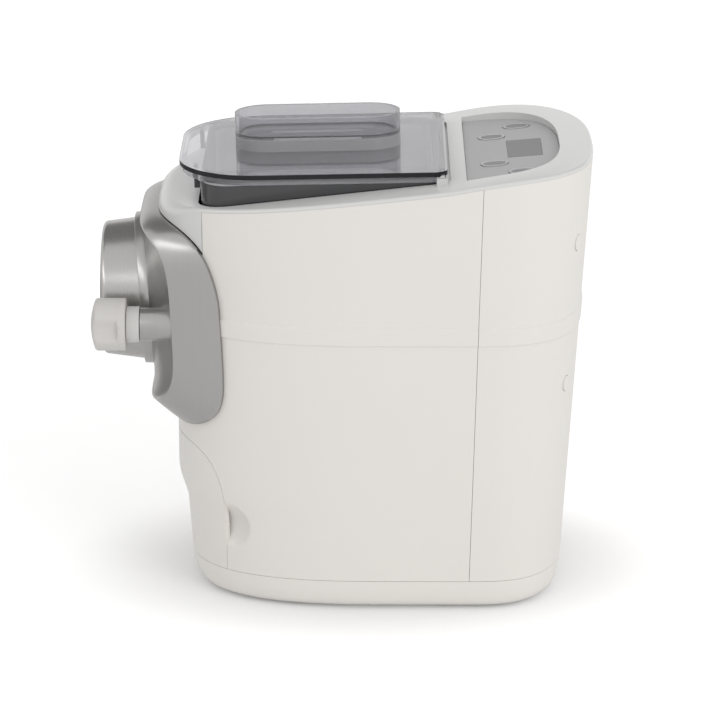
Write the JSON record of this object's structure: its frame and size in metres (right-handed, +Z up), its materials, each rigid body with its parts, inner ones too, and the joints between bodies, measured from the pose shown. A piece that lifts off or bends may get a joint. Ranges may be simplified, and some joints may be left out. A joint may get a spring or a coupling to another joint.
{
  "type": "electric pasta maker",
  "caption": "Counter-top electric pasta maker with clear hinged lid, mixing tub, extruder with die cap, locking knobs and accessory drawer.",
  "frame": {"origin": "on the ground under the middle of the machine, centred in width and depth", "axes": "+Z up, -Y towards the front with the die cap, X along the lid's hinge"},
  "size_m": [0.2014, 0.3151, 0.3043],
  "materials": {
    "white_shell": "smooth low gloss moulding",
    "deck_shell": "glossy light grey moulding",
    "silver_panel": "satin metallic lacquer",
    "frame_plastic": "textured moulding",
    "chassis_plastic": "glass filled moulding",
    "food_plastic": "food safe moulding",
    "tub_tint": "dark tinted moulding",
    "clear_lid": "smoky clear moulding",
    "seal_rubber": "soft seal",
    "foot_rubber": "non slip foot",
    "steel": "ground shaft",
    "zinc": "zinc plated",
    "brass_sleeve": "turned",
    "bronze_bush": "sintered",
    "gear_plastic": "moulded acetal",
    "motor_steel": "blackened core and can",
    "fan_plastic": "moulded fan",
    "dark_plastic": "moulded small part",
    "overlay_grey": "printed control overlay",
    "display_black": "display window",
    "button_silver": "bright rimmed key",
    "mat_white": "silicone mat",
    "board_green": "circuit board",
    "knob_grey": "fine satin grip"
  },
  "bodies": {
    "housing": {"base_tray": "white_shell", "rubber_feet": "foot_rubber", "side_panel_right": "white_shell", "side_panel_left": "white_shell", "rear_cover": "white_shell", "top_deck": "deck_shell", "front_frame": "frame_plastic", "front_panel": "silver_panel", "shaping_disc": "food_plastic", "extruder_tube": "food_plastic", "mixing_tub": "tub_tint", "tub_shaft_seal": "seal_rubber", "gear_pins": "steel", "gearbox_case": "chassis_plastic", "gearbox_cover": "chassis_plastic", "shaft_bushes": "bronze_bush", "gearbox_screws": "zinc", "motor_can": "motor_steel", "motor_end_plates": "zinc", "motor_saddle": "chassis_plastic", "chassis": "chassis_plastic", "lid_hinge_pins": "steel", "interlock_spring": "steel", "interlock_switch": "dark_plastic", "control_overlay": "overlay_grey", "display_window": "display_black", "display_module": "board_green", "key_mat": "mat_white", "control_board": "board_green", "power_board": "board_green", "knob_sleeves": "brass_sleeve", "cord_gland": "dark_plastic", "screw_plugs": "white_shell", "base_screws": "zinc"},
    "lid": {"lid": "clear_lid", "lid_seal": "seal_rubber", "lid_latch_tabs": "dark_plastic"},
    "drive": {"drive_shaft": "steel", "output_gear": "gear_plastic", "extruder_screw": "food_plastic", "mixing_paddle": "food_plastic"},
    "second_stage": {"second_gear": "gear_plastic"},
    "first_stage": {"first_gear": "gear_plastic"},
    "rotor": {"motor_shaft": "steel", "motor_pinion": "brass_sleeve", "cooling_fan": "fan_plastic"},
    "knob_right": {"locking_knob_right": "knob_grey", "knob_collar_right": "silver_panel"},
    "knob_left": {"locking_knob_left": "knob_grey", "knob_collar_left": "silver_panel"},
    "cap": {"die_cap": "silver_panel"},
    "drawer": {"drawer_front": "white_shell", "drawer_tray": "frame_plastic"},
    "key_1": {"button_1": "button_silver"},
    "key_2": {"button_2": "button_silver"},
    "key_3": {"button_3": "button_silver"},
    "key_4": {"button_4": "button_silver"},
    "plunger": {"interlock_plunger": "dark_plastic"}
  },
  "joints": [
    {"name": "lid_hinge", "type": "hinge", "parent": "housing", "child": "lid", "pos_m": [0, 0.061, 0.2805], "axis": [-1, 0, 0], "range_deg": [0, 100]},
    {"name": "drive_spin", "type": "hinge", "parent": "housing", "child": "drive", "pos_m": [0, 0.05, 0.187], "axis": [0, 1, 0], "continuous": true},
    {"name": "second_gear_spin", "type": "hinge", "parent": "housing", "child": "second_stage", "pos_m": [-0.00426, 0.09, 0.13819], "axis": [0, 1, 0], "continuous": true},
    {"name": "first_gear_spin", "type": "hinge", "parent": "housing", "child": "first_stage", "pos_m": [0.008, 0.08, 0.10407], "axis": [0, 1, 0], "continuous": true},
    {"name": "motor_spin", "type": "hinge", "parent": "housing", "child": "rotor", "pos_m": [0, 0.03, 0.07], "axis": [0, 1, 0], "continuous": true},
    {"name": "knob_right_turn", "type": "hinge", "parent": "housing", "child": "knob_right", "pos_m": [0.064, -0.14, 0.1815], "axis": [0, -1, 0], "range_deg": [0, 1080]},
    {"name": "knob_left_turn", "type": "hinge", "parent": "housing", "child": "knob_left", "pos_m": [-0.064, -0.14, 0.1815], "axis": [0, -1, 0], "range_deg": [0, 1080]},
    {"name": "cap_turn", "type": "hinge", "parent": "housing", "child": "cap", "pos_m": [0, -0.14, 0.187], "axis": [0, -1, 0], "range_deg": [0, 90]},
    {"name": "drawer_slide", "type": "slide", "parent": "housing", "child": "drawer", "axis": [0, -1, 0], "range_m": [0, 0.07]},
    {"name": "key_1_press", "type": "slide", "parent": "housing", "child": "key_1", "axis": [0, 0.0872, -0.9962], "range_m": [0, 0.0008], "stiffness_N_per_m": 400, "springref_m": -0.001},
    {"name": "key_2_press", "type": "slide", "parent": "housing", "child": "key_2", "axis": [0, 0.0872, -0.9962], "range_m": [0, 0.0008], "stiffness_N_per_m": 400, "springref_m": -0.001},
    {"name": "key_3_press", "type": "slide", "parent": "housing", "child": "key_3", "axis": [0, 0.0872, -0.9962], "range_m": [0, 0.0008], "stiffness_N_per_m": 400, "springref_m": -0.001},
    {"name": "key_4_press", "type": "slide", "parent": "housing", "child": "key_4", "axis": [0, 0.0872, -0.9962], "range_m": [0, 0.0008], "stiffness_N_per_m": 400, "springref_m": -0.001},
    {"name": "plunger_press", "type": "slide", "parent": "housing", "child": "plunger", "axis": [0, 0, -1], "range_m": [0, 0.0008], "stiffness_N_per_m": 400, "springref_m": -0.001, "deforming": ["interlock_spring"]}
  ],
  "couplings": [
    {"joint": "second_gear_spin", "follows": "drive_spin", "ratio": -3},
    {"joint": "first_gear_spin", "follows": "drive_spin", "ratio": 9.4286},
    {"joint": "motor_spin", "follows": "drive_spin", "ratio": -37.714}
  ]
}
